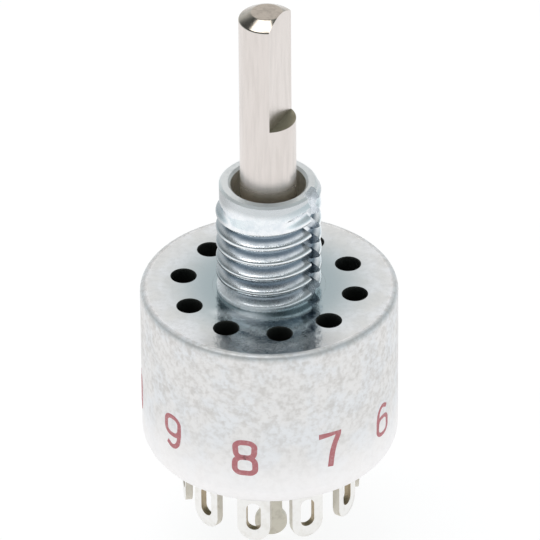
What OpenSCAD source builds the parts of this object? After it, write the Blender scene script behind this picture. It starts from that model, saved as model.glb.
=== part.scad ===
// Sealed miniature rotary switch with ten positions and an adjustable stop.
// The origin is on the front mounting face, on the shaft's axis, and +Z runs out along the shaft.

/* [Housing] */
// Radius of the can
can_r = 7.3; // [7.2:0.05:8.4]
// Thickness of the can's side wall
can_wall = 1.0; // [0.8:0.05:1.1]
// Thickness of the can's front wall
front_t = 1.2; // [1:0.05:1.6]
// Radius on the front edge
front_edge_r = 0.3; // [0.1:0.05:0.5]
// Radius on the rolled rear edge
rear_edge_r = 1.2; // [0.8:0.05:1.3]
// Thickness of the lip rolled over the terminal base
lip_t = 0.48; // [0.4:0.02:0.6]
// How far the lip reaches in over the base
lip_reach = 0.8; // [0.5:0.05:1]
// Width of the shoulder that the detent ring seats on
seat_w = 0.4; // [0.3:0.05:0.5]
// Room between the stop arm and that shoulder
stop_room = 0.53; // [0.5:0.01:0.8]

/* [Stop holes] */
// Radius of a stop pin's hole
stop_hole_r = 0.7; // [0.6:0.02:0.72]
// Distance of the holes' circle in from the can's outside
stop_inset = 2.37; // [2.3:0.01:2.4]

/* [Mounting bushing] */
// Outer radius over the thread
thread_r = 2.975; // [2.95:0.005:3]
// Pitch of the thread
thread_pitch = 1; // [0.9:0.05:1.05]
// Depth of the thread
thread_depth = 0.52; // [0.45:0.01:0.55]
// Width of the flat on each crest
crest_w = 0.25; // [0.2:0.01:0.3]
// Height of the first groove over the mounting face
first_groove = 1.1; // [0.8:0.05:1.4]
// Least width of the plain land under the collar
lead_land = 0.75; // [0.5:0.05:1]
// Height of the bushing over the mounting face
bushing_h = 7; // [6.8:0.05:9]
// Height of the plain collar over the thread
collar_h = 0.7; // [0.5:0.05:0.9]
// How much smaller the collar is than the thread
collar_step = 0.205; // [0.15:0.005:0.25]
// Chamfer on the collar
collar_chamfer = 0.25; // [0.1:0.05:0.3]
// Radius of the neck that fits the front wall
neck_r = 3.2; // [3.15:0.01:3.3]
// Gap between the flange behind the front wall and the stop holes
flange_gap = 0.33; // [0.2:0.01:0.5]
// Thickness of the flange
flange_t = 0.8; // [0.6:0.05:1]
// Depth of the counterbore in the bushing's mouth
mouth_depth = 2.3; // [2:0.05:2.5]
// Gap between the shaft and the counterbore's wall
mouth_gap = 0.54; // [0.53:0.01:0.56]
// Width of the keyway
keyway_w = 1.06; // [0.9:0.02:1.2]
// Depth of the keyway under the crests
keyway_depth = 0.575; // [0.4:0.005:0.6]
// Angle of the keyway from +X
keyway_az = -26; // [-60:1:60]

/* [Shaft] */
// Radius of the shaft
shaft_r = 1.5875; // [1.55:0.0125:1.6]
// Height of the shaft's tip over the mounting face
shaft_h = 18.2; // [15:0.2:30]
// How far the tip's chamfer reaches in from the side
tip_chamfer = 0.75; // [0.3:0.05:0.9]
// How far the tip's chamfer reaches down the side
tip_drop = 0.55; // [0.3:0.05:0.9]
// Length of the flat
flat_len = 6.95; // [4:0.05:8]
// Distance of the flat from the axis
flat_off = 0.8; // [0.7:0.05:1.2]
// Angle from +X that the flat faces
flat_az = -27; // [-60:1:60]
// Distance from the axis of the two drive flats inside the can
drive_off = 1.15; // [1.05:0.01:1.25]

/* [Seal and end play] */
// Thickness of the seal ring's cord
seal_d = 0.5; // [0.45:0.01:0.55]
// Gap between the seal ring and its groove or the bushing's bore
seal_gap = 0.02; // [0.01:0.005:0.03]
// How much wider the seal's groove is than the seal
seal_side = 0.13; // [0.05:0.01:0.2]
// Depth of the seal's middle under the counterbore's floor
seal_down = 0.415; // [0.4:0.005:0.6]
// Thickness of the thrust washer
washer_t = 0.25; // [0.2:0.01:0.4]
// How much smaller the thrust washer is than the flange
washer_inset = 0.7; // [0.4:0.05:1]
// Thickness of the retaining ring
ring_t = 0.38; // [0.3:0.01:0.5]
// Radius of the retaining ring
ring_r = 2.4; // [2.2:0.05:2.6]
// Depth of the retaining ring's groove in the shaft
ring_groove = 0.33; // [0.25:0.01:0.35]
// Width of the shaft's land behind that groove
ring_land = 0.15; // [0.1:0.01:0.25]
// Angle of the opening in the retaining ring
ring_gap = 70; // [50:5:90]

/* [Stop arm] */
// Thickness of the arm
arm_t = 0.5; // [0.4:0.02:0.7]
// Width of the arm's tip
arm_w = 1.5; // [1.2:0.05:1.7]
// Radius of the arm's hub
arm_hub_r = 2.7; // [2.4:0.05:3]
// How far the arm reaches past the circle of the stop holes
arm_past = 0.55; // [0.4:0.01:0.6]

/* [Detent] */
// Thickness of the detent ring
detent_t = 1.8; // [1.7:0.05:2.2]
// Thickness of the detent ring's wall at its crests
detent_wall = 1.08; // [0.95:0.01:1.15]
// Depth of the notches between the crests
notch_depth = 0.35; // [0.2:0.01:0.4]
// Radius of a notch's round floor
notch_r = 0.95; // [0.85:0.01:1.1]
// Gap between the detent rotor and the crests
rotor_gap = 0.25; // [0.2:0.01:0.3]
// Thickness of the detent rotor in front of the balls
rotor_front = 1.43; // [1.2:0.01:1.43]
// Thickness of the detent rotor behind the balls
rotor_rear = 1.08; // [1.05:0.01:1.1]
// Radius of a ball
ball_r = 0.79; // [0.7:0.01:0.8]
// Gap between a ball and the crests
ball_gap = 0.08; // [0.06:0.01:0.1]
// Gap round a ball in its pocket
pocket_gap = 0.06; // [0.03:0.01:0.08]
// Distance of the pocket's floor from the axis
pocket_floor = 2.15; // [2:0.05:2.3]
// Radius of the wire of the detent springs
detent_wire_r = 0.12; // [0.08:0.01:0.14]
// Number of turns of the detent springs
detent_turns = 4; // [3:1:4]

/* [Contacts] */
// Thickness of the contact rotor
contact_t = 1.78; // [1.7:0.02:2]
// Gap between the contact rotor and the base's rim
contact_gap = 0.4; // [0.3:0.05:0.5]
// Width of the wiper contact
wiper_w = 1.5; // [1.3:0.05:1.6]
// Thickness of the wiper contact
wiper_t = 0.25; // [0.2:0.01:0.3]
// Depth of the wiper's slot in the contact rotor
wiper_slot = 0.5; // [0.45:0.01:0.55]
// Room over the wiper in its slot
slot_room = 0.1; // [0.05:0.01:0.12]
// Distance of the wiper's inner dimple in from the common disc's edge
inner_track = 0.7; // [0.6:0.01:0.8]
// Distance of the wiper's outer dimple out from the pads' inner ends
outer_track = 0.45; // [0.4:0.01:0.55]
// How far the wiper runs on past each dimple
wiper_end = 0.55; // [0.5:0.01:0.6]
// Radius of a dimple's ball end
dimple_r = 0.42; // [0.4:0.01:0.5]
// Running gap between the dimples and the pads
track_gap = 0.07; // [0.05:0.01:0.1]
// Radius of the contact spring's pocket
spring_pocket_r = 0.6; // [0.55:0.01:0.65]
// Depth of the contact spring's pocket
spring_pocket_h = 0.85; // [0.7:0.01:0.9]
// Radius of the wire of the contact spring
contact_wire_r = 0.09; // [0.06:0.01:0.1]
// Number of turns of the contact spring
contact_turns = 3; // [2:1:3]

/* [Terminal base] */
// Thickness of the base's floor
base_t = 1.48; // [1.4:0.02:2.5]
// Thickness of the base's rim
rim_t = 0.58; // [0.5:0.02:0.6]
// Room between the contact rotor and the pads
pad_room = 0.3; // [0.25:0.01:0.35]

/* [Terminals] */
// Thickness of the terminals' sheet
lug_t = 0.42; // [0.25:0.01:0.45]
// Width of a position terminal
lug_w = 1.9; // [1.7:0.05:1.95]
// Distance of the position terminals' circle in from the can's outside
lug_inset = 2.5; // [2.45:0.01:2.6]
// Length of a position terminal under the base
lug_len = 4.35; // [3.5:0.05:8]
// Width of the eye
eye_w = 0.82; // [0.6:0.02:0.9]
// Length of the eye
eye_len = 1.8; // [1.2:0.05:2.2]
// Sheet left between the eye and the tip
eye_margin = 0.75; // [0.5:0.05:0.8]
// Length of a terminal's pad
pad_len = 1; // [0.9:0.02:1.05]
// Insulating gap between the pads and the common terminal's disc
disc_gap = 0.75; // [0.65:0.01:0.85]
// Length of the common terminal under the base
common_len = 7.35; // [5:0.05:10]
// Width of the common terminal's stem
common_stem_w = 1.15; // [0.9:0.05:1.4]
// Radius of the common terminal's round head
common_head_r = 0.925; // [0.8:0.025:1.1]

/* [Fits] */
// Angle from +X of the terminal of position 5
index_az = 6.6; // [-18:0.2:18]
// Gap between pieces that are fitted together
fit = 0.02; // [0.01:0.005:0.03]
// Running gap between the shaft and the bushing
shaft_gap = 0.035; // [0.02:0.005:0.05]
// Gap between a coil spring and the wall of its pocket
coil_gap = 0.05; // [0.03:0.005:0.06]
// End play of the shaft
end_play = 0.05; // [0.03:0.01:0.1]

/* [Hidden] */
positions = 10;
step_az = 360 / positions;
rest_position = 6;
fine = 96;
cut = 0.5;

inner_r = can_r - can_wall;
chamber_r = inner_r - seat_w;
stop_circle_r = can_r - stop_inset;
flange_r = stop_circle_r - stop_hole_r - flange_gap;
washer_r = flange_r - washer_inset;
groove_w = thread_pitch - crest_w;
root_w = groove_w - 2 * thread_depth * tan(30);
mouth_r = shaft_r + mouth_gap;
collar_r = thread_r - collar_step;
collar_z = bushing_h - collar_h;
groove_count = floor((collar_z - lead_land - first_groove) / thread_pitch) + 1;
keyway_floor = thread_r - keyway_depth;
seal_w = seal_d + seal_side;
seal_groove = seal_d + 2 * seal_gap - shaft_gap;
seal_z = bushing_h - mouth_depth - seal_down;

wall_z = -front_t;
flange_z = wall_z - flange_t;
washer_top = flange_z - end_play;
washer_z = washer_top - washer_t;
ring_top = washer_z - fit;
ring_z = ring_top - ring_t;
drive_z = ring_z - ring_land;
arm_top = drive_z - fit;
arm_z = arm_top - arm_t;
seat_z = arm_z - stop_room;
detent_top = seat_z - fit;
detent_z = detent_top - detent_t;
ball_z = detent_top - detent_t / 2;
rotor_top = min(ball_z + rotor_front, arm_z - fit);
rotor_z = ball_z - rotor_rear;
contact_top = rotor_z - fit;
contact_z = contact_top - contact_t;
pad_top = contact_z - pad_room;
floor_top = pad_top - lug_t;
floor_z = floor_top - base_t;
can_z = floor_z - fit - lip_t;

base_r = inner_r - fit;
crest_r = base_r - detent_wall;
rotor_r = crest_r - rotor_gap;
pocket_r = ball_r + pocket_gap;
ball_at = crest_r - ball_gap - ball_r;
slot_top = contact_z + wiper_slot;
wiper_top = slot_top - slot_room;
rim_r = base_r - rim_t;
contact_r = rim_r - contact_gap;
lug_circle_r = can_r - lug_inset;
lug_out = lug_circle_r + lug_t / 2;
pad_in = lug_out - pad_len;
common_disc_r = pad_in - disc_gap;
inner_track_r = common_disc_r - inner_track;
outer_track_r = pad_in + outer_track;

// Angle of a numbered position from +X, as the numbers rise clockwise seen from the front
function position_az(n) = index_az + (5 - n) * step_az;
rest_az = position_az(rest_position);

terminal_names = [for (n = [1:positions]) str("terminal_", n)];

// Half of a section, drawn in X from the axis and turned round it
module turned() {
  rotate_extrude($fn = fine) children();
}

// Disc with its front face at z = top and its rear face at z = bottom
module disc(r, bottom, top) {
  translate([0, 0, bottom]) cylinder(r = r, h = top - bottom, $fn = fine);
}

// Square corner with a round cut out, which rounds a convex corner at the origin
module corner_cut(r) {
  difference() {
    translate([-r, -r]) square(r + cut);
    translate([-r, -r]) circle(r = r, $fn = fine);
  }
}

// Closed tube that winds round the Z axis from z = 0, as a spring's wire
module coil(mean_r, wire_r, length, turns) {
  sides = 6;
  per_turn = 14;
  last = turns * per_turn;
  rise = length - 2 * wire_r;
  lead = atan2(rise, 360 * turns * mean_r * PI / 180);
  points = [
    for (i = [0:last]) for (k = [0:sides - 1])
      let (
        a = 360 * i / per_turn,
        b = 360 * k / sides,
        out = mean_r + wire_r * cos(b),
        along = wire_r * sin(b)
      )
      [
        out * cos(a) + along * sin(lead) * sin(a),
        out * sin(a) - along * sin(lead) * cos(a),
        wire_r + rise * i / last + along * cos(lead)
      ]
  ];
  sides_faces = [
    for (i = [0:last - 1]) for (k = [0:sides - 1])
      let (m = (k + 1) % sides)
      each [
        [i * sides + k, i * sides + m, (i + 1) * sides + m],
        [i * sides + k, (i + 1) * sides + m, (i + 1) * sides + k]
      ]
  ];
  first_cap = [for (k = [sides - 1:-1:0]) k];
  last_cap = [for (k = [0:sides - 1]) last * sides + k];
  polyhedron(points = points, faces = concat(sides_faces, [first_cap, last_cap]));
}

// Section of the shaft between its two drive flats, grown by gap for a hub's bore
module drive_section(gap) {
  intersection() {
    circle(r = shaft_r + gap, $fn = fine);
    square([2 * (drive_off + gap), 3 * shaft_r], center = true);
  }
}

// Bore that a hub slides onto the drive flats with
module drive_bore(bottom, top) {
  translate([0, 0, bottom - cut]) linear_extrude(top - bottom + 2 * cut) drive_section(fit);
}

module housing() {
  color([0.82, 0.83, 0.84]) difference() {
    turned() difference() {
      translate([0, can_z]) square([can_r, -can_z]);
      translate([can_r, 0]) corner_cut(front_edge_r);
      translate([can_r, can_z]) mirror([0, 1]) corner_cut(rear_edge_r);
      translate([-cut, seat_z]) square([chamber_r + cut, wall_z - seat_z]);
      translate([-cut, floor_z - fit]) square([inner_r + cut, seat_z - floor_z + fit]);
      translate([-cut, can_z - cut]) square([inner_r - lip_reach + cut, lip_t + 2 * cut]);
      translate([-cut, wall_z - cut]) square([neck_r + fit + cut, front_t + 2 * cut]);
    }
    for (n = [1:positions])
      rotate(position_az(n) + step_az / 2) translate([stop_circle_r, 0, wall_z - cut])
        cylinder(r = stop_hole_r, h = front_t + 2 * cut, $fn = 32);
  }
}

// Groove of the thread, as a cut in the bushing's half section
module thread_groove() {
  deep = thread_depth;
  polygon([
    [-deep, -root_w / 2],
    [cut, -root_w / 2 - (deep + cut) * tan(30)],
    [cut, root_w / 2 + (deep + cut) * tan(30)],
    [-deep, root_w / 2]
  ]);
}

module mounting_bushing() {
  bore_r = shaft_r + shaft_gap;
  color([0.78, 0.81, 0.84]) difference() {
    turned() difference() {
      union() {
        translate([bore_r, flange_z]) square([flange_r - bore_r, flange_t]);
        translate([bore_r, wall_z]) square([neck_r - bore_r, front_t]);
        translate([bore_r, -cut]) square([thread_r - bore_r, collar_z + cut]);
        translate([bore_r, 0]) polygon([
          [0, 0],
          [collar_r - bore_r, 0],
          [collar_r - bore_r, bushing_h - collar_chamfer],
          [collar_r - bore_r - collar_chamfer, bushing_h],
          [0, bushing_h]
        ]);
      }
      for (i = [0:groove_count - 1])
        translate([thread_r, first_groove + i * thread_pitch]) thread_groove();
      translate([0, bushing_h - mouth_depth]) square([mouth_r, mouth_depth + cut]);
    }
    rotate(keyway_az) translate([keyway_floor, -keyway_w / 2, 0])
      cube([flange_r, keyway_w, bushing_h + cut]);
  }
}

module shaft() {
  flat_z = shaft_h - flat_len;
  color([0.80, 0.78, 0.75]) union() {
    difference() {
      turned() difference() {
        translate([0, drive_z]) square([shaft_r, shaft_h - drive_z]);
        translate([shaft_r, shaft_h]) polygon([
          [-tip_chamfer, 0],
          [-tip_chamfer, cut],
          [cut, cut],
          [cut, -tip_drop],
          [0, -tip_drop]
        ]);
        translate([shaft_r - seal_groove, seal_z - seal_w / 2]) square([shaft_r, seal_w]);
        translate([shaft_r - ring_groove, ring_z - fit]) square([shaft_r, washer_z - ring_z + fit]);
      }
      rotate(flat_az) translate([flat_off, -2 * shaft_r, flat_z])
        cube([shaft_r, 4 * shaft_r, flat_len + cut]);
    }
    rotate(rest_az) translate([0, 0, contact_z + fit])
      linear_extrude(drive_z + fit - contact_z) drive_section(0);
  }
}

module shaft_seal() {
  color([0.1, 0.1, 0.1]) turned()
    translate([shaft_r - seal_groove + seal_gap + seal_d / 2, seal_z]) circle(d = seal_d, $fn = 48);
}

module thrust_washer() {
  color([0.78, 0.64, 0.4]) difference() {
    disc(washer_r, washer_z, washer_top);
    disc(shaft_r + shaft_gap, washer_z - cut, washer_top + cut);
  }
}

module retaining_ring() {
  inside = shaft_r - ring_groove + fit;
  color([0.55, 0.56, 0.58]) rotate(rest_az + ring_gap / 2)
    rotate_extrude(angle = 360 - ring_gap, $fn = fine)
      translate([inside, ring_z]) square([ring_r - inside, ring_t]);
}

module stop_arm() {
  color([0.7, 0.68, 0.62]) difference() {
    union() {
      disc(arm_hub_r, arm_z, arm_top);
      rotate(rest_az) translate([0, 0, arm_z]) linear_extrude(arm_t) {
        translate([0, -arm_w / 2]) square([stop_circle_r + arm_past - arm_w / 2, arm_w]);
        translate([stop_circle_r + arm_past - arm_w / 2, 0]) circle(d = arm_w, $fn = 48);
      }
    }
    rotate(rest_az) drive_bore(arm_z, arm_top);
  }
}

module detent_ring() {
  notch_at = crest_r + notch_depth - notch_r;
  color([0.62, 0.63, 0.66]) difference() {
    disc(inner_r - fit, detent_z, detent_top);
    translate([0, 0, detent_z - cut]) linear_extrude(detent_t + 2 * cut) {
      circle(r = crest_r, $fn = fine);
      for (n = [1:positions]) rotate(position_az(n)) translate([notch_at, 0]) circle(r = notch_r, $fn = 48);
    }
  }
}

module detent_rotor() {
  color([0.35, 0.37, 0.4]) difference() {
    disc(rotor_r, rotor_z, rotor_top);
    rotate(rest_az) {
      drive_bore(rotor_z, rotor_top);
      for (side = [0, 180])
        rotate(side) translate([pocket_floor, 0, ball_z]) rotate([0, 90, 0])
          cylinder(r = pocket_r, h = rotor_r, $fn = 48);
    }
  }
}

module detent_spring(side) {
  mean_r = pocket_r - coil_gap - detent_wire_r;
  length = ball_at - ball_r - pocket_floor - 2 * fit;
  color([0.6, 0.6, 0.62]) rotate(rest_az + side) translate([pocket_floor + fit, 0, ball_z])
    rotate([0, 90, 0]) coil(mean_r, detent_wire_r, length, detent_turns);
}

module detent_ball(side) {
  color([0.75, 0.75, 0.77]) rotate(rest_az + side) translate([ball_at, 0, ball_z])
    sphere(r = ball_r, $fn = 48);
}

module contact_rotor() {
  slot_in = inner_track_r - wiper_end - fit;
  slot_out = outer_track_r + wiper_end + fit;
  color([0.16, 0.17, 0.17]) difference() {
    disc(contact_r, contact_z, contact_top);
    rotate(rest_az) {
      drive_bore(contact_z, contact_top);
      translate([slot_in, -wiper_w / 2 - fit, contact_z - cut])
        cube([slot_out - slot_in, wiper_w + 2 * fit, wiper_slot + cut]);
      translate([(inner_track_r + outer_track_r) / 2, 0, slot_top - cut])
        cylinder(r = spring_pocket_r, h = spring_pocket_h + cut, $fn = 48);
    }
  }
}

// Half section of a dimple pressed out of the wiper, from its ball end up into the sheet
module dimple_section() {
  height = wiper_top - wiper_t / 2 - pad_top - track_gap;
  intersection() {
    square([dimple_r, height]);
    union() {
      translate([0, dimple_r]) circle(r = dimple_r, $fn = 48);
      translate([0, dimple_r]) square([dimple_r, height]);
    }
  }
}

module wiper_contact() {
  color([0.85, 0.68, 0.35]) rotate(rest_az) {
    translate([inner_track_r - wiper_end, -wiper_w / 2, wiper_top - wiper_t])
      cube([outer_track_r - inner_track_r + 2 * wiper_end, wiper_w, wiper_t]);
    for (x = [inner_track_r, outer_track_r])
      translate([x, 0, pad_top + track_gap]) rotate_extrude($fn = 48) dimple_section();
  }
}

module contact_spring() {
  mean_r = spring_pocket_r - coil_gap - contact_wire_r;
  length = slot_top + spring_pocket_h - wiper_top - 2 * fit;
  color([0.6, 0.6, 0.62]) rotate(rest_az)
    translate([(inner_track_r + outer_track_r) / 2, 0, wiper_top + fit])
      coil(mean_r, contact_wire_r, length, contact_turns);
}

module terminal_base() {
  slot_depth = floor_top - floor_z + 2 * cut;
  color([0.12, 0.2, 0.16]) difference() {
    disc(base_r, floor_z, detent_z - fit);
    disc(rim_r, floor_top, detent_z + cut);
    for (n = [1:positions])
      rotate(position_az(n)) translate([lug_out - lug_t - fit / 2, -(lug_w + fit) / 2, floor_z - cut])
        cube([lug_t + fit, lug_w + fit, slot_depth]);
    translate([-(common_stem_w + fit) / 2, -(lug_t + fit) / 2, floor_z - cut])
      cube([common_stem_w + fit, lug_t + fit, slot_depth]);
  }
}

// Flat outline of a position terminal, with its width in X and its tip down in Y
module terminal_outline() {
  tip_y = floor_z - lug_len;
  difference() {
    union() {
      translate([-lug_w / 2, tip_y + lug_w / 2]) square([lug_w, pad_top - tip_y - lug_w / 2]);
      translate([0, tip_y + lug_w / 2]) circle(d = lug_w, $fn = 48);
    }
    for (y = [eye_w / 2, eye_len - eye_w / 2])
      translate([0, tip_y + eye_margin + y]) circle(d = eye_w, $fn = 32);
    translate([-eye_w / 2, tip_y + eye_margin + eye_w / 2]) square([eye_w, eye_len - eye_w]);
  }
}

// Side section of a position terminal, with the distance from the axis in X and the height in Y
module terminal_section() {
  tip_y = floor_z - lug_len;
  difference() {
    translate([lug_out - lug_t, tip_y]) square([lug_t, pad_top - tip_y]);
    translate([lug_out, pad_top]) corner_cut(lug_t);
  }
  translate([pad_in, floor_top]) square([lug_out - lug_t - pad_in, lug_t]);
}

module terminal(n) {
  color([0.86, 0.85, 0.82]) rotate(position_az(n)) intersection() {
    rotate([90, 0, 0]) translate([0, 0, -lug_w]) linear_extrude(2 * lug_w) terminal_section();
    rotate([90, 0, 90]) linear_extrude(lug_out + cut) terminal_outline();
  }
}

module common_terminal() {
  head_z = floor_z - common_len + common_head_r;
  color([0.8, 0.78, 0.72]) {
    disc(common_disc_r, floor_top, pad_top);
    translate([0, lug_t / 2, 0]) rotate([90, 0, 0]) linear_extrude(lug_t) {
      translate([-common_stem_w / 2, head_z]) square([common_stem_w, floor_top + lug_t / 2 - head_z]);
      translate([0, head_z]) circle(r = common_head_r, $fn = 48);
    }
  }
}

housing();
mounting_bushing();
shaft();
shaft_seal();
thrust_washer();
retaining_ring();
stop_arm();
detent_ring();
detent_rotor();
detent_spring(0);  // detent_spring_a
detent_spring(180);  // detent_spring_b
detent_ball(0);  // detent_ball_a
detent_ball(180);  // detent_ball_b
contact_rotor();
wiper_contact();
contact_spring();
terminal_base();
common_terminal();
for (n = [1:positions]) terminal(n);
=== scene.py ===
from math import atan2, cos, floor, hypot, pi, radians, sin
import bmesh
import bpy
from mathutils import Matrix, Vector


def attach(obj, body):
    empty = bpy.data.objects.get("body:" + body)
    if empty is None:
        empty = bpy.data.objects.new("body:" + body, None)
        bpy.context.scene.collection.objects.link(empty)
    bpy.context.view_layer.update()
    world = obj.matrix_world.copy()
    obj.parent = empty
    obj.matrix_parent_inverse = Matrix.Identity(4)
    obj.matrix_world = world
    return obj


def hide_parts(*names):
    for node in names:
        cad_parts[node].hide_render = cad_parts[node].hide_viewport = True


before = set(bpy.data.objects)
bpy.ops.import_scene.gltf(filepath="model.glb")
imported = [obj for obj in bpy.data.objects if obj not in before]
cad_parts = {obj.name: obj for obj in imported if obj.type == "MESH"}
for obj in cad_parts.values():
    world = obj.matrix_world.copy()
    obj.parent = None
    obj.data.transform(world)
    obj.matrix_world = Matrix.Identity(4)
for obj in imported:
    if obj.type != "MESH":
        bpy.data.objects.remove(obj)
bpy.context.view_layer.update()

scene = bpy.context.scene
mm = 0.001            # pieces are modelled in millimetres and shrunk at the end

layout = {
    "positions": 10,
    "indexAngle": 6.6,   # degrees from +X to the terminal of position 5
    "restPosition": 6,
}


def positionAngle(number):  # numbers rise clockwise seen from the front
    return layout["indexAngle"] + (5 - number) * 360 / layout["positions"]


print("camera")
camera = {
    "elevation": 34.0,
    "roll": -0.47,
    "distance": 450.0,
    "aim": (0.06, 0.0, 1.0),
    "focal": 532.0,      # mm on a 36 mm sensor
}


def addCamera(spec):
    tilt, roll = radians(spec["elevation"]), radians(spec["roll"])
    ahead = Vector((0, cos(tilt), -sin(tilt)))
    right, up = Vector((1, 0, 0)), Vector((0, sin(tilt), cos(tilt)))
    turned = Matrix((right * cos(roll) + up * sin(roll),
                     up * cos(roll) - right * sin(roll), -ahead)).transposed()
    data = bpy.data.cameras.new("camera")
    data.lens, data.sensor_width = spec["focal"], 36
    data.clip_start, data.clip_end = 0.05, 20
    seen = bpy.data.objects.new("camera", data)
    place = (Vector(spec["aim"]) - ahead * spec["distance"]) * mm
    seen.matrix_world = Matrix.Translation(place) @ turned.to_4x4()
    scene.collection.objects.link(seen)
    scene.camera = seen


addCamera(camera)


print("shader tools")


class Value:  # a shader socket that plain arithmetic adds Math nodes to
    def __init__(self, shader, socket):
        self.shader, self.socket = shader, socket

    def math(self, operation, *terms):
        return self.shader.node("ShaderNodeMath", {"operation": operation}, terms)

    def __add__(self, other): return self.math("ADD", self, other)
    def __radd__(self, other): return self.math("ADD", other, self)
    def __sub__(self, other): return self.math("SUBTRACT", self, other)
    def __rsub__(self, other): return self.math("SUBTRACT", other, self)
    def __mul__(self, other): return self.math("MULTIPLY", self, other)
    def __rmul__(self, other): return self.math("MULTIPLY", other, self)
    def __abs__(self): return self.math("ABSOLUTE", self)

    def ramp(self, low, high):  # 0 under low, 1 over high, smooth between
        return self.shader.node("ShaderNodeMapRange", {"interpolation_type": "SMOOTHSTEP"}, {
            "Value": self, "From Min": low, "From Max": high})


class Tree:  # the nodes of a material or of the world
    def __init__(self, tree):
        self.tree = tree

    def node(self, kind, settings=None, values=(), output=0):
        made = self.tree.nodes.new(kind)
        for name, value in (settings or {}).items():
            setattr(made, name, value)
        pairs = values.items() if isinstance(values, dict) else enumerate(values)
        for socket, value in pairs:
            self.feed(made.inputs[socket], value)
        return Value(self, made.outputs[output])

    def feed(self, socket, value):
        if isinstance(value, Value):
            self.tree.links.new(value.socket, socket)
        elif isinstance(value, tuple) and socket.type == "RGBA":
            socket.default_value = (*value, 1)
        else:
            socket.default_value = value

    def blend(self, factor, first, second):  # two colours
        return self.node("ShaderNodeMix", {"data_type": "RGBA"}, {0: factor, 6: first, 7: second}, 2)


class Shader(Tree):  # one material, with its place in millimetres
    def __init__(self, name, **constants):
        self.material = bpy.data.materials.new(name)
        self.material.use_nodes = True
        super().__init__(self.material.node_tree)
        self.surface = self.tree.nodes["Principled BSDF"]
        for socket, value in constants.items():
            self.set(socket.replace("_", " "), value)
        place = self.node("ShaderNodeTexCoord", output="Object")
        self.place = self.node("ShaderNodeVectorMath", {"operation": "SCALE"}, {0: place, "Scale": 1 / mm})

    def set(self, socket, value):
        self.feed(self.surface.inputs[socket], value)

    def along(self, axis):
        return self.node("ShaderNodeSeparateXYZ", None, (self.place,), axis)

    def across(self):  # distance from the Z axis
        return self.node("ShaderNodeVectorMath", {"operation": "LENGTH"}, (self.stretched(1, 1, 0),), 1)

    def stretched(self, x, y, z):
        return self.node("ShaderNodeMapping", None, {"Vector": self.place, "Scale": (x, y, z)})

    def noise(self, scale, detail=3, rough=0.5, place=None):
        return self.node("ShaderNodeTexNoise", None, {
            "Vector": place or self.place, "Scale": scale, "Detail": detail, "Roughness": rough})

    def bump(self, height, depth):
        self.set("Normal", self.node("ShaderNodeBump", None, {
            "Height": height, "Strength": 1.0, "Distance": depth * mm}))


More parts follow.
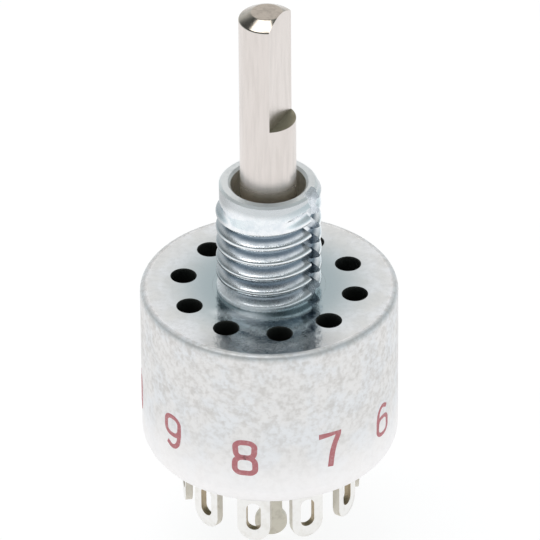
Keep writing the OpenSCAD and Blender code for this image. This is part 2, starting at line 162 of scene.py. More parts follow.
def canPlating():
    look = {
        "pale": (0.805, 0.795, 0.79),
        "paintedFloorLight": (0.97, 0.95, 0.95),      # painted light from the floor, near the lower edge
        "dull": (0.63, 0.61, 0.59),
        "cool": (0.785, 0.81, 0.845),
        "face": (0.68, 0.685, 0.675),
        "faceDull": (0.59, 0.60, 0.60),
        "foot": (0.36, 0.425, 0.445),     # painted shade and reflection round the bushing
        "paintedGleam": (0.93, 0.96, 0.98),      # painted highlight at the bushing's foot, left of the front
        "paintedMirror": (0.40, 0.41, 0.41),     # painted reflection of the bushing, on the face near its front edge
        "bottomShade": (0.50, 0.50, 0.51),
        "sideRoughness": 0.42,
        "faceRoughness": 0.055,
        "blotchRoughness": 0.1,           # more where it is blotched
        "edgeWear": 0.6,                  # how much less metallic it is there
        "gleamMetalDrop": 0.35,
        "bump": 0.01,
    }
    start = {  # where each tone starts and is full: heights, distances from the axis, or sideways
        "face": (-0.06, -0.01),
        "faceRim": (6.82, 6.95),
        "high": (-9, -3),
        "bottomShade": (-10.3, -10.0),
        "paintedFloorLight": (-9.5, -6),
        "foot": (3.2, 6.8),
        "gleamForward": (2.2, 3.0),
        "gleamRim": (3.4, 4.6),
        "gleamAside": (-1.2, 0.3),
        "mirrorForward": (3.9, 5.6),
        "mirrorAside": (2.9, 4.9),
        "edge": (6.95, 7.05),
        "edgeHeight": (-0.45, -0.25),
    }
    s = Shader("canPlating")
    aside, forward, height, across = s.along(0), 0 - s.along(1), s.along(2), s.across()
    onFace = height.ramp(*start["face"]) * (1 - across.ramp(*start["faceRim"]))
    blotch = (s.noise(3.2, 4, 0.6) * 0.7 + s.noise(1.1, 2) * 0.3).ramp(0.40, 0.66)
    tint = s.noise(0.6, 2).ramp(0.4, 0.65) * 0.6

    side = s.blend(tint, look["pale"], look["cool"])
    side = s.blend(blotch * (0.25 + 0.5 * height.ramp(*start["high"])), side, look["dull"])
    # painted light: the side is lighter towards its lower edge, as if lit by the floor
    side = s.blend(0.8 - 0.8 * height.ramp(*start["paintedFloorLight"]), side, look["paintedFloorLight"])

    # painted highlight: a pale, less metallic patch on the face at the bushing's foot
    paintedGleam = forward.ramp(*start["gleamForward"]) * (1 - across.ramp(*start["gleamRim"]))
    paintedGleam = paintedGleam * (1 - aside.ramp(*start["gleamAside"])) * onFace
    # painted reflection: the bushing's dark mirror image, widened towards the face's front edge
    paintedMirror = forward.ramp(*start["mirrorForward"]) * (1 - abs(aside).ramp(*start["mirrorAside"]))
    face = s.blend(tint, look["face"], look["cool"])
    face = s.blend(blotch * 0.5, face, look["faceDull"])
    # painted shade and reflection: the face darker round the bushing
    face = s.blend(1 - across.ramp(*start["foot"]), face, look["foot"])
    face = s.blend(paintedGleam, face, look["paintedGleam"])
    face = s.blend(paintedMirror * 0.65, face, look["paintedMirror"])

    bottomShade = 1 - height.ramp(*start["bottomShade"])  # painted shade under the can, where the edge is rolled over
    s.set("Base Color", s.blend(bottomShade, s.blend(onFace, side, face), look["bottomShade"]))
    edge = across.ramp(*start["edge"]) * height.ramp(*start["edgeHeight"])  # dulled by handling
    s.set("Metallic", 1 - look["edgeWear"] * edge - look["gleamMetalDrop"] * paintedGleam)
    rough = look["sideRoughness"] + look["blotchRoughness"] * blotch
    s.set("Roughness", rough + onFace * (look["faceRoughness"] - rough))
    grain = s.noise(11, 3, 0.6) * (1 - 0.7 * onFace)
    s.bump(grain * 0.6 + blotch * 0.4, look["bump"])
    return s.material


def bushingPlating(name, grooveShadeTop):
    look = {
        "bright": (0.93, 0.95, 0.97),
        "dull": (0.76, 0.81, 0.87),
        "groove": (0.13, 0.19, 0.25),
        "left": (0.40, 0.43, 0.45),       # painted shade on its left side
        "rim": (0.62, 0.65, 0.67),
        "rimLeft": (0.38, 0.40, 0.41),
        "grooveShade": 0.84,
        "footWear": 0.8,                  # how much less metallic its foot is, left of the front
        "roughness": 0.25,
        "wornRoughness": 0.08,
        "bump": 0.002,
    }
    start = {  # where each tone starts and is full: heights, distances from the axis, or sideways
        "grooveShade": (2.5, 2.8),
        "grooveShadeHeight": (0.2, 1.1),        # the first turn gets no painted shade
        "grooveShadeTop": (grooveShadeTop, grooveShadeTop + 0.15),
        "left": (-2.9, -2.1),
        "leftHeight": (0.3, 0.8),
        "rim": (6.1, 6.5),
        "rimLeft": (-2.8, -1.7),
        "rimLeftHeight": (5.9, 6.3),
        "foot": (0.3, 0.8),
        "footAside": (-0.5, 1.2),
    }
    s = Shader(name)
    aside, height, across = s.along(0), s.along(2), s.across()
    worn = s.noise(2.2, 4, 0.6).ramp(0.4, 0.7)
    # painted shade: the bushing darker on its left
    left = (1 - aside.ramp(*start["left"])) * height.ramp(*start["leftHeight"])
    # painted shade: the collar darker on its left
    rimLeft = height.ramp(*start["rimLeftHeight"]) * (1 - aside.ramp(*start["rimLeft"]))
    # painted shade: darker deeper in the thread's grooves
    grooveShade = (1 - across.ramp(*start["grooveShade"])) * height.ramp(*start["grooveShadeHeight"])
    grooveShade = grooveShade * (1 - height.ramp(*start["grooveShadeTop"]))
    plating = s.blend(worn * 0.5, look["bright"], look["dull"])
    plating = s.blend(left, plating, look["left"])
    plating = s.blend(height.ramp(*start["rim"]), plating, look["rim"])
    plating = s.blend(rimLeft, plating, look["rimLeft"])
    s.set("Base Color", s.blend(grooveShade * look["grooveShade"], plating, look["groove"]))
    foot = (1 - height.ramp(*start["foot"])) * (1 - aside.ramp(*start["footAside"]))
    s.set("Metallic", 1 - look["footWear"] * foot)
    s.set("Roughness", look["roughness"] + worn * look["wornRoughness"])
    s.bump(s.noise(12, 2), look["bump"])
    return s.material


def turnedSteel():
    look = {
        "plain": (0.755, 0.70, 0.67),
        "streak": (0.66, 0.61, 0.58),
        "mouthShade": (0.62, 0.53, 0.42),     # painted shade and reflection where it enters the bushing
        "mouthShadeTop": (6.8, 7.6),
    }
    s = Shader("turnedSteel")
    streaks = s.noise(3, 3, 0.55, s.stretched(1.2, 1.2, 0.12)).ramp(0.35, 0.7)
    rings = s.noise(5, 2, 0.5, s.stretched(0.4, 0.4, 9))
    # painted shade and reflection: darker, browner and less metallic low down
    inMouthShade = 1 - s.along(2).ramp(*look["mouthShadeTop"])
    steel = s.blend(streaks * 0.6, look["plain"], look["streak"])
    s.set("Base Color", s.blend(inMouthShade * 0.8, steel, look["mouthShade"]))
    s.set("Metallic", 1 - 0.5 * inMouthShade)
    s.set("Roughness", 0.2 + rings * 0.1)
    s.bump(rings, 0.004)
    return s.material


def lugPlating(name, bright, dull, roughness, metallic=1.0):
    s = Shader(name, Metallic=metallic)
    dulled = s.noise(2.5, 4, 0.6).ramp(0.45, 0.75)
    s.set("Base Color", s.blend(dulled * 0.7, bright, dull))
    s.set("Roughness", roughness + dulled * 0.12)
    s.bump(s.noise(8, 2), 0.004)
    return s.material


def redInk():
    s = Shader("redInk", Roughness=0.55)
    thin = s.noise(6, 3, 0.6).ramp(0.45, 0.8)
    s.set("Base Color", s.blend(thin, (0.58, 0.19, 0.21), (0.66, 0.33, 0.34)))
    return s.material


def plainPlastic(name, color, roughness):
    s = Shader(name, Roughness=roughness)
    mottle = s.noise(4, 3, 0.6)
    darker = tuple(c * 0.7 for c in color)
    s.set("Base Color", s.blend(mottle.ramp(0.35, 0.7), color, darker))
    s.bump(s.noise(20, 2), 0.006)
    return s.material


def springMetal(name, color, roughness):
    s = Shader(name, Metallic=1.0)
    darker = tuple(c * 0.8 for c in color)
    s.set("Base Color", s.blend(s.noise(3, 3).ramp(0.4, 0.7), color, darker))
    s.set("Roughness", roughness + 0.1 * s.noise(5, 2))
    return s.material


finishes = {
    "can": canPlating(),
    "bushing": bushingPlating("bushingPlating", 6.1),  # with painted shade in the thread's grooves up to this height
    # painted shade on the keyway's floor and walls up to this height
    "keyway": bushingPlating("keywayWall", 4.2),
    "rim": lugPlating("rimPlating", (0.80, 0.82, 0.82), (0.66, 0.69, 0.70), 0.38, 0.5),
    "shaft": turnedSteel(),
    "tip": springMetal("tipSteel", (0.46, 0.41, 0.355), 0.12),
    # painted shade on the flat's ledge
    "ledge": lugPlating("shaftLedge", (0.33, 0.30, 0.21), (0.26, 0.23, 0.15), 0.4, 0.6),
    "lug": lugPlating("lugPlating", (0.88, 0.87, 0.85), (0.80, 0.78, 0.74), 0.3),
    "lugEdge": lugPlating("lugEdge", (0.70, 0.66, 0.58), (0.58, 0.53, 0.44), 0.45, 0.5),
    "lugEye": lugPlating("lugEye", (0.56, 0.46, 0.32), (0.42, 0.33, 0.21), 0.45, 0.5),
    # painted shade: the common lug darker, as it stands in the other lugs' shade
    "common": lugPlating("commonLugShade", (0.60, 0.57, 0.49), (0.50, 0.47, 0.40), 0.4),
    "ink": redInk(),
    "seal": plainPlastic("sealRubber", (0.02, 0.02, 0.02), 0.7),
    "rotor_plastic": plainPlastic("rotorPlastic", (0.03, 0.03, 0.03), 0.6),
    "base_plastic": plainPlastic("basePlastic", (0.045, 0.085, 0.06), 0.55),
    # painted shade for the can's hollow inside and its hole walls
    "hollow": plainPlastic("hollowDark", (0.02, 0.022, 0.018), 0.8),
    "mouth": lugPlating("mouthWall", (0.73, 0.71, 0.65), (0.53, 0.52, 0.43), 0.3, 0.3),
    "spring_steel": springMetal("springSteel", (0.55, 0.55, 0.56), 0.3),
    "bronze": springMetal("bronzeSheet", (0.72, 0.52, 0.28), 0.3),
}


print("modelling tools")


def shape():
    return bmesh.new()


def lathe(rings, steps=192, onAxis=False):  # a section of (radius, height, rounding) turned round Z
    bm = shape()
    verts = [bm.verts.new((ring[0], 0, ring[1])) for ring in rings]
    ends = verts[1:] if onAxis else verts[1:] + verts[:1]
    edges = [bm.edges.new(pair) for pair in zip(verts, ends)]
    bmesh.ops.spin(bm, geom=verts + edges, cent=(0, 0, 0), axis=(0, 0, 1), angle=2 * pi,
                   steps=steps, use_merge=True)
    bmesh.ops.remove_doubles(bm, verts=bm.verts, dist=1e-5)
    bmesh.ops.dissolve_degenerate(bm, edges=bm.edges, dist=1e-5)
    for radius, height, rounding in (ring for ring in rings if len(ring) == 3):
        rim = [e for e in bm.edges if all(
            abs(hypot(v.co.x, v.co.y) - radius) + abs(v.co.z - height) < 1e-3 for v in e.verts)]
        bevel(bm, rim, rounding, 6)
    bmesh.ops.recalc_face_normals(bm, faces=bm.faces)
    return bm


def bevel(bm, edges, width, segments):
    bmesh.ops.bevel(bm, geom=edges, offset=width, offset_type="OFFSET", affect="EDGES",
                    segments=segments, profile=0.5, material=-1, clamp_overlap=True)


def bevelSharp(bm, width, segments, angle=50, where=lambda edge: True):
    edges = [e for e in bm.edges if e.is_manifold and e.calc_face_angle(0) > radians(angle) and where(e)]
    bevel(bm, edges, width, segments)


def block(low, high):
    bm = shape()
    bmesh.ops.create_cube(bm, size=1)
    middle = (Vector(low) + Vector(high)) / 2
    size = Vector(high) - Vector(low)
    bmesh.ops.scale(bm, vec=size, verts=bm.verts)
    bmesh.ops.translate(bm, vec=middle, verts=bm.verts)
    return bm


def turn(bm, angle):
    bmesh.ops.rotate(bm, verts=bm.verts, cent=(0, 0, 0), matrix=Matrix.Rotation(radians(angle), 3, "Z"))
    return bm


def combine(bm, other, operation="DIFFERENCE"):  # both are closed; the second one is used up
    made = []
    for piece in (bm, other):
        mesh = bpy.data.meshes.new("working")
        piece.to_mesh(mesh)
        made.append(bpy.data.objects.new("working", mesh))
        scene.collection.objects.link(made[-1])
    cut = made[0].modifiers.new("cut", "BOOLEAN")
    cut.object, cut.operation, cut.solver = made[1], operation, "EXACT"
    graph = bpy.context.evaluated_depsgraph_get()
    result = bpy.data.meshes.new_from_object(made[0].evaluated_get(graph))
    bm.clear()
    bm.from_mesh(result)
    other.free()
    for piece in made:
        mesh = piece.data
        bpy.data.objects.remove(piece)
        bpy.data.meshes.remove(mesh)
    bpy.data.meshes.remove(result)
    return bm


def finish(name, bm, looks, body, nodes=(), sharp=30):
    for face in bm.faces:
        face.smooth = True
    for edge in bm.edges:
        edge.smooth = edge.is_manifold and edge.calc_face_angle(0) < radians(sharp)
    bmesh.ops.scale(bm, vec=(mm, mm, mm), verts=bm.verts)
    mesh = bpy.data.meshes.new(name)
    bm.to_mesh(mesh)
    bm.free()
    for look in looks:
        mesh.materials.append(finishes[look])
    piece = bpy.data.objects.new(name, mesh)
    scene.collection.objects.link(piece)
    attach(piece, body)
    if nodes:
        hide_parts(*nodes)
    return piece


print("can")
can = {
    "radius": 7.3,
    "inside": 6.3,
    "chamber": 5.9,
    "wallBottom": -1.2,
    "seat": -3.9,
    "baseBottom": -9.92,
    "bottom": -10.4,
    "lipRadius": 5.5,
    "frontEdge": 0.3,
    "rearEdge": 1.2,
    "bushingHole": 3.205,
    "holeRadius": 0.7,
    "holeCircle": 4.93,
    "holeEdge": 0.05,    # chamfer round each hole
    "support": 0.03,     # a ring beside each rounding keeps the flat beside it flat
}


def makeCan(c):
    support = c["support"]
    bm = lathe([
        (c["bushingHole"], 0),
        (c["radius"] - c["frontEdge"] - support, 0),
        (c["radius"], 0, c["frontEdge"]),
        (c["radius"], -c["frontEdge"] - support),
        (c["radius"], c["bottom"] + c["rearEdge"] + support),
        (c["radius"], c["bottom"], c["rearEdge"]),
        (c["radius"] - c["rearEdge"] - support, c["bottom"]),
        (c["lipRadius"], c["bottom"]),
        (c["lipRadius"], c["baseBottom"]),
        (c["inside"], c["baseBottom"]),
        (c["inside"], c["seat"]),
        (c["chamber"], c["seat"]),
        (c["chamber"], c["wallBottom"]),
        (c["bushingHole"], c["wallBottom"]),
    ], 256)
    for number in range(layout["positions"]):
        r, edge = c["holeRadius"], c["holeEdge"]
        drill = lathe([(0, -2), (r, -2), (r, -edge), (r + 2 * edge, edge), (0, edge)], 48, True)
        bmesh.ops.translate(drill, vec=(c["holeCircle"], 0, 0), verts=drill.verts)
        turn(drill, positionAngle(number) + 180 / layout["positions"])
        combine(bm, drill)
    for face in bm.faces:  # painted shade: the hollow inside and the walls of the holes are near black
        middle = face.calc_center_median()
        across = hypot(middle.x, middle.y)
        inHole = abs(across - c["holeCircle"]) < c["holeRadius"] and abs(face.normal.z) < 0.5
        under = c["bottom"] + 0.3 < middle.z < -0.02 and across < c["radius"] - 0.5
        face.material_index = int(under or (inHole and middle.z < -c["holeEdge"]))
    return finish("can", bm, ["can", "hollow"], "case", ["housing"])


makeCan(can)


print("bushing")
bushing = {
    "crest": 2.975,
    "depth": 0.52,
    "pitch": 1.0,
    "frontCrest": 0.32,    # height of a crest on the side facing the camera
    "crestShare": 0.17,    # parts of the pitch that crest and root take
    "rootShare": 0.13,
    "crestDrop": (0.015, 0.01),  # how much lower a worn crest's lower and upper edges are
    "flankCurve": 0.65,    # 0 for straight flanks, 1 for the roundest
    "firstGroove": (-0.26, 0.54),  # the groove gets its full depth between these heights
    "firstDepth": 0.4,     # its share of the depth before
    "runOut": (5.54, 5.74),        # the groove ends between these heights
    "newGroove": (5.82, 5.98, 6.3, 6.5),  # and a shallow one starts, stays and ends again
    "newDepth": 0.29,
    "collar": 2.77,
    # heights between which it tapers to the collar: on the left, in front, on the right
    "leadIn": ((5.35, 5.6), (5.45, 6.4), (6.5, 6.75)),
    "top": 7.0,
    "chamfer": 0.13,
    "mouth": 2.1275,
    "mouthFloor": 4.7,
    "mouthEdge": 0.14,
    "bore": 1.6225,
    "neck": 3.2,
    "wallBottom": -1.2,
    "flange": 3.9,
    "flangeBottom": -2.0,
    "keyway": 1.06,
    "keywayFloor": 2.4,
    "keywayAngle": -26.0,
}


def soft(value, start, end):  # 0 to 1, smooth between start and end
    t = min(max((value - start) / (end - start), 0), 1)
    return t * t * (3 - 2 * t)


def threadTube(b, steps=180, rows=24):
    bm = shape()
    start, turns = -2.5, 11
    verts = [bm.verts.new((b["crest"], 0, start + b["pitch"] * k / rows)) for k in range(turns * rows + 1)]
    edges = [bm.edges.new(pair) for pair in zip(verts, verts[1:])]
    bmesh.ops.spin(bm, geom=verts + edges, cent=(0, 0, 0), axis=(0, 0, 1), dvec=(0, 0, b["pitch"] / steps),
                   angle=2 * pi, steps=steps, use_merge=False)
    bmesh.ops.remove_doubles(bm, verts=bm.verts, dist=1e-4)
    for v in bm.verts:
        phase = (v.co.z - b["frontCrest"]) / b["pitch"] - (atan2(v.co.y, v.co.x) + pi / 2) / (2 * pi)
        groove = v.co.z + (floor(phase) + 0.5 - phase) * b["pitch"]  # height of the groove's middle here
        again, full, ebb, gone = b["newGroove"]
        deeper = b["firstDepth"] + (1 - b["firstDepth"]) * soft(groove, *b["firstGroove"])
        depth = b["depth"] * (1 - soft(groove, *b["runOut"])) * deeper
        depth += b["newDepth"] * soft(groove, again, full) * (1 - soft(groove, ebb, gone))
        away = abs(phase - floor(phase + 0.5))  # 0 on a crest, 0.5 in the middle of a groove
        flank = (1 - b["rootShare"] - 2 * away) / (1 - b["rootShare"] - b["crestShare"])
        flank = min(max(flank, 0), 1)
        ridge = (1 - b["flankCurve"]) * flank + b["flankCurve"] * soft(flank, 0, 1)
        worn = b["crestDrop"][phase > floor(phase + 0.5)] * min(2 * away / b["crestShare"], 1) ** 2
        side = v.co.x / b["crest"]  # -1 on the left, 1 on the right
        ends = b["leadIn"][1 + (side > 0) - (side < 0)]
        low, high = (m + (e - m) * abs(side) for m, e in zip(b["leadIn"][1], ends))
        land = b["crest"] - (b["crest"] - b["collar"]) * min(max((v.co.z - low) / (high - low), 0), 1)
        cut = b["crest"] - depth * (1 - ridge) - worn * depth / b["depth"]
        v.co.xy = v.co.xy.normalized() * min(land, cut)
    for height, side in ((0, 1), (b["top"] - b["chamfer"], -1)):
        bmesh.ops.bisect_plane(bm, geom=bm.verts[:] + bm.edges[:] + bm.faces[:], dist=1e-4,
                               plane_co=(0, 0, height), plane_no=(0, 0, side), clear_inner=True)
    bmesh.ops.dissolve_degenerate(bm, edges=bm.edges, dist=1e-4)
    return bm


def openRim(bm, height):
    return [e for e in bm.edges if e.is_boundary and all(abs(v.co.z - height) < 1e-3 for v in e.verts)]


def drawOn(bm, edges, rings):  # carries an open rim on through rings of (radius, height)
    for radius, height in rings:
        made = bmesh.ops.extrude_edge_only(bm, edges=edges)["geom"]
        fresh = {g for g in made if isinstance(g, bmesh.types.BMVert)}
        edges = [g for g in made if isinstance(g, bmesh.types.BMEdge) and set(g.verts) <= fresh]
        for v in fresh:
            v.co.xy = v.co.xy.normalized() * radius
            v.co.z = height
    return edges


def makeBushing(b):
    bm = threadTube(b)
    bottom = openRim(bm, 0)
    last = drawOn(bm, openRim(bm, b["top"] - b["chamfer"]), [
        (b["collar"] - b["chamfer"], b["top"]),
        (b["mouth"] + b["mouthEdge"], b["top"]),
        (b["mouth"], b["top"] - b["mouthEdge"]),
        (b["mouth"], b["mouthFloor"]),
        (b["bore"], b["mouthFloor"]),
        (b["bore"], b["flangeBottom"]),
        (b["flange"], b["flangeBottom"]),
        (b["flange"], b["wallBottom"]),
        (b["neck"], b["wallBottom"]),
        (b["neck"], 0),
    ])
    bmesh.ops.bridge_loops(bm, edges=last + bottom)
    bmesh.ops.recalc_face_normals(bm, faces=bm.faces)
    key = block((b["keywayFloor"], -b["keyway"] / 2, 0.001), (4, b["keyway"] / 2, 8))
    combine(bm, turn(key, b["keywayAngle"]))
    bm.normal_update()
    keyOut = Matrix.Rotation(radians(b["keywayAngle"]), 3, "Z") @ Vector((1, 0, 0))
    looks = ["bushing", "mouth", "can", "keyway", "rim"]
    for face in bm.faces:
        middle, facing = face.calc_center_median(), face.normal
        across, aside = hypot(middle.x, middle.y), abs(middle.x * keyOut.y - middle.y * keyOut.x)
        if facing.z > 0.5 and middle.z > b["top"] - b["mouthEdge"]:
            face.material_index = looks.index("rim")
        elif across < b["mouth"] + 0.02 and middle.z < b["top"] - b["mouthEdge"]:
            face.material_index = looks.index("mouth")  # duller and browner than the plating
        elif facing.z > 0.9 and abs(middle.z) < 1e-3:
            face.material_index = looks.index("can")  # the neck's end is finished with the can
        elif aside < b["keyway"] / 2 + 1e-3 and middle.dot(keyOut) > 0 and across < b["crest"] - 1e-3:
            onFloor = facing.dot(keyOut) > 0.99 and abs(middle.dot(keyOut) - b["keywayFloor"]) < 1e-3
            onWall = abs(facing.dot(keyOut)) < 0.01 and abs(facing.z) < 0.01
            face.material_index = looks.index("keyway") if onFloor or onWall else 0
    return finish("bushing", bm, looks, "case", ["mounting_bushing"])


makeBushing(bushing)


print("shaft")
shaft = {
    "radius": 1.5875,
    "top": 18.2,
    "chamfer": 0.75,       # how far the tip's chamfer reaches in
    "drop": 0.45,          # and down
    "tipRound": 0.07,
    "bottom": -7.68,
    "sealGroove": (1.0825, 3.97, 4.6),
    "ringGroove": (1.2575, -2.72, -2.3),
    "flatOff": 0.8,
    "flatBottom": 11.25,
    "flatAngle": -27.0,
    "driveOff": 1.15,
    "driveTop": -2.85,
}


def makeShaft(s):
    r, top = s["radius"], s["top"]
    seal, ring = s["sealGroove"], s["ringGroove"]
    bm = lathe([
        (0, s["bottom"]), (r, s["bottom"]),
        (r, ring[1]), (ring[0], ring[1]), (ring[0], ring[2]), (r, ring[2]),
        (r, seal[1]), (seal[0], seal[1]), (seal[0], seal[2]), (r, seal[2]),
        (r, top - s["drop"] - 0.1), (r, top - s["drop"], s["tipRound"]),
        (r - s["chamfer"], top, s["tipRound"]), (r - s["chamfer"] - 0.1, top),
        (0, top),
    ], 128, True)
    flat = block((s["flatOff"], -3, s["flatBottom"]), (3, 3, top + 1))
    combine(bm, turn(flat, s["flatAngle"]))
    for side in (0, 180):
        drive = block((s["driveOff"], -3, s["bottom"] - 1), (3, 3, s["driveTop"]))
        combine(bm, turn(drive, positionAngle(layout["restPosition"]) + side))
    bm.normal_update()
    looks = ["shaft", "tip", "ledge"]
    for face in bm.faces:  # the tip is brighter than the turned side, and the flat's ledge darker with painted shade
        middle = face.calc_center_median()
        if face.normal.z > 0.9 and abs(middle.z - s["flatBottom"]) < 1e-3:
            face.material_index = looks.index("ledge")
        elif face.normal.z > 0.3 and middle.z > top - s["drop"] - 0.05:
            face.material_index = looks.index("tip")
    return finish("shaft_blank", bm, looks, "rotor", ["shaft"])


makeShaft(shaft)


print("lugs")
lug = {
    "width": 1.9,
    "sheet": 0.42,
    "circle": 4.8,
    "tip": -14.25,
    "padTop": -8.0,
    "padLength": 1.0,
    "eye": 0.82,
    "eyeLength": 1.8,
    "eyeMargin": 0.75,
    "edge": 0.035,
}
commonLug = {
    "stem": 1.15,
    "head": 0.925,
    "tip": -17.25,
    "discRadius": 3.26,
    "discBottom": -8.42,
    "discTop": -8.0,
}


def longLoop(bm, width, low, high, straightTop=False, segments=48):  # round ends, in the XZ plane
    made = bmesh.ops.create_circle(bm, cap_ends=False, segments=segments, radius=width / 2,
                                   matrix=Matrix.Rotation(pi / segments, 4, "Z"))["verts"]
    for v in made:
        x, up = v.co.x, v.co.y
        if up < 0:
            v.co = (x, 0, low + width / 2 + up)
        elif straightTop:
            v.co = (x, 0, high)
        else:
            v.co = (x, 0, high - width / 2 + up)
    return list({e for v in made for e in v.link_edges})


def thicken(bm, thickness):
    faces = bmesh.ops.extrude_face_region(bm, geom=bm.faces[:])["geom"]
    raised = [g for g in faces if isinstance(g, bmesh.types.BMVert)]
    bmesh.ops.translate(bm, vec=(0, thickness, 0), verts=raised)
    bmesh.ops.recalc_face_normals(bm, faces=bm.faces)


def pullFaces(bm, faces, vec):
    made = bmesh.ops.extrude_face_region(bm, geom=faces)["geom"]
    bmesh.ops.delete(bm, geom=faces, context="FACES")
    pulled = [g for g in made if isinstance(g, bmesh.types.BMVert)]
    bmesh.ops.translate(bm, vec=vec, verts=pulled)


lugLooks = ["lug", "lugEdge", "lugEye"]


def lugShape(g):
    bm = shape()
    floorTop = g["padTop"] - g["sheet"]
    outside = longLoop(bm, g["width"], g["tip"], floorTop, True)
    eyeLow = g["tip"] + g["eyeMargin"]
    eye = longLoop(bm, g["eye"], eyeLow, eyeLow + g["eyeLength"])
    bmesh.ops.bridge_loops(bm, edges=outside + eye)
    thicken(bm, g["sheet"])
    top = [f for f in bm.faces if f.normal.z > 0.9 and abs(f.calc_center_median().z - floorTop) < 1e-3]
    pullFaces(bm, top, (0, 0, g["sheet"]))
    bm.normal_update()
    inner = [f for f in bm.faces if f.normal.y < -0.9 and f.calc_center_median().z > floorTop + 0.01]
    pullFaces(bm, inner, (0, g["sheet"] - g["padLength"], 0))
    bmesh.ops.recalc_face_normals(bm, faces=bm.faces)
    bevelSharp(bm, g["edge"], 2, 60, lambda e: max(v.co.z for v in e.verts) < floorTop - 0.5)
    bmesh.ops.translate(bm, vec=(0, g["circle"] - g["sheet"] / 2, 0), verts=bm.verts)
    bm.normal_update()
    for face in bm.faces:  # the cut edges are duller than the sheet, and brown inside the eye
        middle = face.calc_center_median()
        if abs(face.normal.y) < 0.8 and middle.z < floorTop:
            inWidth = abs(middle.x) < g["eye"] / 2 + g["edge"]
            inEye = inWidth and eyeLow - g["edge"] < middle.z < eyeLow + g["eyeLength"]
            face.material_index = lugLooks.index("lugEye" if inEye else "lugEdge")
    return bm


def makeLugs(g):
    for number in range(1, layout["positions"] + 1):
        bm = turn(lugShape(g), positionAngle(number) - 90)
        finish(f"lug_{number}", bm, lugLooks, "case", [f"terminal_{number}"])


def makeCommonLug(g, sheet, edge):
    bm = shape()
    made = bmesh.ops.create_circle(bm, cap_ends=True, segments=48, radius=g["head"])["verts"]
    top = g["discBottom"] + sheet / 2
    for v in made:
        x, up = v.co.x, v.co.y
        v.co = (x, 0, g["tip"] + g["head"] + up)
        if up > 0 and abs(x) < g["stem"] / 2:
            v.co = (x, 0, top)
    shoulder = [v for v in made if abs(v.co.z - top) < 1e-6]
    reach = max(abs(v.co.x) for v in shoulder)
    for v in made:
        if abs(abs(v.co.x) - reach) < 0.08 and v.co.z > g["tip"] + g["head"]:
            v.co.x = g["stem"] / 2 if v.co.x > 0 else -g["stem"] / 2
    bmesh.ops.translate(bm, vec=(0, -sheet / 2, 0), verts=bm.verts)
    thicken(bm, sheet)
    bevelSharp(bm, edge, 2, 60, lambda e: max(v.co.z for v in e.verts) < top - 0.3)
    disc = lathe([(0, g["discBottom"]), (g["discRadius"], g["discBottom"]),
                  (g["discRadius"], g["discTop"]), (0, g["discTop"])], 96, True)
    combine(bm, disc, "UNION")
    finish("common_lug", bm, ["common"], "case", ["common_terminal"])


makeLugs(lug)
makeCommonLug(commonLug, lug["sheet"], lug["edge"])


print("numbers")
numbers = {
    "height": 2.07,      # of a stroke's centreline
    "width": 1.18,
    "stroke": 0.28,
    "middle": -6.73,
    "proud": 0.012,      # how far the ink stands out
    "pairWidth": 0.36,   # how much narrower each digit of a pair is
    "pairGap": 0.3,
    "strips": 8,         # cut on each side of the middle, so that long bars bend with the can
    "stripWidth": 0.1001,
}
printed = {  # how the print is off: (shift round the can, shift up, size, stroke)
    10: (-0.45, 0, 1, 0.28),
    9: (-0.21, 0.03, 0.96, 0.29),
    8: (0, -0.17, 1, 0.34),
    7: (0.31, -0.16, 1.08, 0.36),
    6: (0, -0.1, 0.92, 0.26),
}
corner, smooth = "VECTOR", "AUTO"
ringTop = [(0, 0.5), (0.42, 0.42), (0.46, 0.26), (0.36, 0.06),
           (0, 0.01), (-0.36, 0.06), (-0.46, 0.26), (-0.42, 0.42)]
ringLow = [(0, 0.01), (0.4, -0.06), (0.5, -0.26), (0.42, -0.45),
           (0, -0.5), (-0.42, -0.45), (-0.5, -0.26), (-0.4, -0.06)]
nineLoop = [(0, 0.5), (0.42, 0.4), (0.48, 0.18), (0.36, -0.04),
            (0, -0.1), (-0.4, -0.02), (-0.48, 0.2), (-0.4, 0.42)]
nineTail = [(0.49, 0.2), (0.46, -0.12), (0.3, -0.4), (0, -0.5), (-0.38, -0.4)]
zero = [(0, 0.5), (0.42, 0.34), (0.5, 0), (0.42, -0.34),
        (0, -0.5), (-0.42, -0.34), (-0.5, 0), (-0.42, 0.34)]
digits = {  # strokes of (closed, points), in a box one wide and one high
    "0": [(True, zero)],
    "1": [(False, [(-0.3, 0.28, corner), (0.05, 0.5, corner), (0.05, -0.5, corner)])],
    "2": [(False, [(-0.46, 0.26), (-0.3, 0.46), (0.05, 0.5), (0.42, 0.36), (0.38, 0.08),
                   (-0.1, -0.24), (-0.5, -0.5, corner), (0.5, -0.5, corner)])],
    "3": [(False, [(-0.45, 0.34), (-0.2, 0.49), (0.2, 0.49), (0.44, 0.28), (0.28, 0.06),
                   (-0.08, 0.02)]),
          (False, [(-0.08, 0.02), (0.36, -0.04), (0.49, -0.24), (0.3, -0.47), (-0.2, -0.49),
                   (-0.48, -0.32)])],
    "4": [(False, [(0.22, -0.5, corner), (0.22, 0.5, corner), (-0.5, -0.2, corner),
                   (0.5, -0.2, corner)])],
    "5": [(False, [(0.42, 0.5, corner), (-0.36, 0.5, corner), (-0.42, 0.06, corner), (0, 0.13),
                   (0.44, -0.02), (0.48, -0.26), (0.26, -0.48), (-0.2, -0.49), (-0.48, -0.32)])],
    "6": [(True, [(-x, -y) for x, y in nineLoop]), (False, [(-x, -y) for x, y in nineTail])],
    "7": [(False, [(-0.5, 0.48, corner), (0.5, 0.48, corner), (0.2, 0.02), (0.06, -0.5)])],
    "8": [(True, ringTop), (True, ringLow)],
    "9": [(True, nineLoop), (False, nineTail)],
}


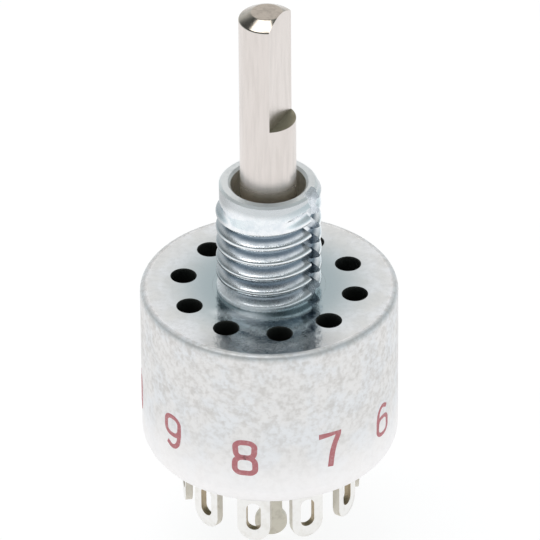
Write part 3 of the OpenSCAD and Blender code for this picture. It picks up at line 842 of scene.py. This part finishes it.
def strokes(text, n, size, stroke):  # flat curves along the digits' centrelines, as one mesh
    data = bpy.data.curves.new("strokes", "CURVE")
    data.dimensions = "3D"
    data.resolution_u, data.bevel_depth, data.bevel_resolution = 8, stroke / 2, 3
    data.use_fill_caps = True
    width, height = n["width"] * size, n["height"] * size
    if len(text) > 1:
        width *= n["pairWidth"]
    for place, digit in enumerate(text):
        shift = (place - (len(text) - 1) / 2) * (width + n["pairGap"])
        for closed, points in digits[digit]:
            spline = data.splines.new("BEZIER")
            spline.bezier_points.add(len(points) - 1)
            spline.use_cyclic_u = closed
            for knot, point in zip(spline.bezier_points, points):
                knot.co = (point[0] * width + shift, point[1] * height, 0)
                knot.handle_left_type = knot.handle_right_type = point[2] if len(point) == 3 else smooth
    drawn = bpy.data.objects.new("strokes", data)
    scene.collection.objects.link(drawn)
    graph = bpy.context.evaluated_depsgraph_get()
    mesh = bpy.data.meshes.new_from_object(drawn.evaluated_get(graph))
    bm = shape()
    bm.from_mesh(mesh)
    bpy.data.objects.remove(drawn)
    bpy.data.curves.remove(data)
    bpy.data.meshes.remove(mesh)
    return bm


def makeNumbers(n, radius):
    for number in range(1, layout["positions"] + 1):
        aside, raised, size, stroke = printed.get(number, (0, 0, 1, n["stroke"]))
        bm = strokes(str(number), n, size, stroke)
        for k in range(-n["strips"], n["strips"] + 1):
            bmesh.ops.bisect_plane(bm, geom=bm.verts[:] + bm.edges[:] + bm.faces[:], dist=1e-5,
                                   plane_co=(k * n["stripWidth"], 0, 0), plane_no=(1, 0, 0))
        middle = radians(positionAngle(number))
        flatten = n["proud"] / (stroke / 2)
        for v in bm.verts:
            angle, out = middle + (v.co.x + aside) / radius, radius + v.co.z * flatten
            v.co = (out * cos(angle), out * sin(angle), n["middle"] + raised + v.co.y)
        bmesh.ops.remove_doubles(bm, verts=bm.verts, dist=1e-5)
        bmesh.ops.recalc_face_normals(bm, faces=bm.faces)
        finish(f"number_{number}", bm, ["ink"], "case", sharp=60)


makeNumbers(numbers, can["radius"])


print("inner pieces")
inner = {
    "seal": ["shaft_seal"],
    "bronze": ["thrust_washer", "wiper_contact"],
    "spring_steel": ["retaining_ring", "stop_arm", "detent_ring", "detent_spring_a",
                     "detent_spring_b", "detent_ball_a", "detent_ball_b", "contact_spring"],
    "rotor_plastic": ["detent_rotor", "contact_rotor"],
    "base_plastic": ["terminal_base"],
}
for look, nodes in inner.items():
    for node in nodes:
        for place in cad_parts[node].material_slots:
            place.material = finishes[look]


print("studio")
studio = {
    "floorHeight": -17.3,
    "floorSize": 4000,
    "floorGlow": 0.87,
    "paperWhite": 0.2,
    "roomLight": 0.12,
    "roomTint": (0.86, 0.97, 1.0),
    "horizonLight": 0.9,           # a pale band round the horizon
    "horizonSpread": (0.1, 0.5),   # sines of the height between which it fades
    "backLight": 1.0,              # a bright wall behind, seen by the front face
    "backAim": (0.0, 0.829, 0.559),
    "backSpread": (0.72, 0.93),    # cosines where it starts and is full
    "ceilingLight": 0.32,          # the room overhead, beside the softbox
    "ceilingSpread": (0.75, 0.97),
    "sideLight": 0.5,              # a paler wall on the right
    "sideAim": (0.93, -0.25, 0.27),
    "sideSpread": (0.7, 0.95),
    "softboxEnds": ((0.18, -0.02, 0.97), (-0.55, 0.0, 0.84)),
    "softboxWidth": 0.34,          # sine of its angle across
    "softboxDistance": 400,
    "softboxLight": 3.5,
}


def addFloor(s):
    bm = shape()
    bmesh.ops.create_grid(bm, x_segments=1, y_segments=1, size=s["floorSize"] * mm / 2)
    bmesh.ops.translate(bm, vec=(0, 0, s["floorHeight"] * mm), verts=bm.verts)
    mesh = bpy.data.meshes.new("floor")
    bm.to_mesh(mesh)
    bm.free()
    floor = bpy.data.objects.new("floor", mesh)
    scene.collection.objects.link(floor)
    paper = Shader("paper", Roughness=0.9, Base_Color=(s["paperWhite"],) * 3,
                   Emission_Color=(1.0, 1.0, 1.0), Emission_Strength=s["floorGlow"])
    mesh.materials.append(paper.material)


def addWorld(s):
    world = bpy.data.worlds.new("studio")
    scene.world = world
    world.use_nodes = True
    sky = Tree(world.node_tree)
    toward = sky.node("ShaderNodeTexCoord")
    up = sky.node("ShaderNodeSeparateXYZ", None, (toward,), 2)
    behind, beside = (
        sky.node("ShaderNodeVectorMath", {"operation": "DOT_PRODUCT"}, (toward, s[aim]), 1)
        for aim in ("backAim", "sideAim"))
    wall = behind.ramp(*s["backSpread"])
    band = 1 - up.ramp(*s["horizonSpread"])
    room = s["roomLight"] + (s["ceilingLight"] - s["roomLight"]) * up.ramp(*s["ceilingSpread"])
    room = room + (s["sideLight"] - room) * beside.ramp(*s["sideSpread"])
    dome = room + (s["horizonLight"] - room) * band
    background = sky.tree.nodes["Background"].inputs
    sky.feed(background["Color"], sky.blend(wall, s["roomTint"], (1.0, 1.0, 1.0)))
    sky.feed(background["Strength"], dome + wall * (s["backLight"] - dome))


def addSoftbox(s):  # a long lamp that reaches from one direction to the other
    first, last = (Vector(end).normalized() for end in s["softboxEnds"])
    middle, along = (first + last).normalized(), (first - last).normalized()
    length = 2 * s["softboxDistance"] * first.dot(along) / first.dot(middle)
    width = s["softboxDistance"] * s["softboxWidth"]
    data = bpy.data.lights.new("softbox", "AREA")
    data.shape, data.size, data.size_y = "RECTANGLE", length * mm, width * mm
    data.energy = s["softboxLight"] * pi * length * width * mm * mm
    lamp = bpy.data.objects.new("softbox", data)
    scene.collection.objects.link(lamp)
    facing = Matrix((along, middle.cross(along), middle)).transposed()
    lamp.matrix_world = Matrix.Translation(middle * s["softboxDistance"] * mm) @ facing.to_4x4()


addFloor(studio)
addWorld(studio)
addSoftbox(studio)
scene.view_settings.view_transform = "Standard"
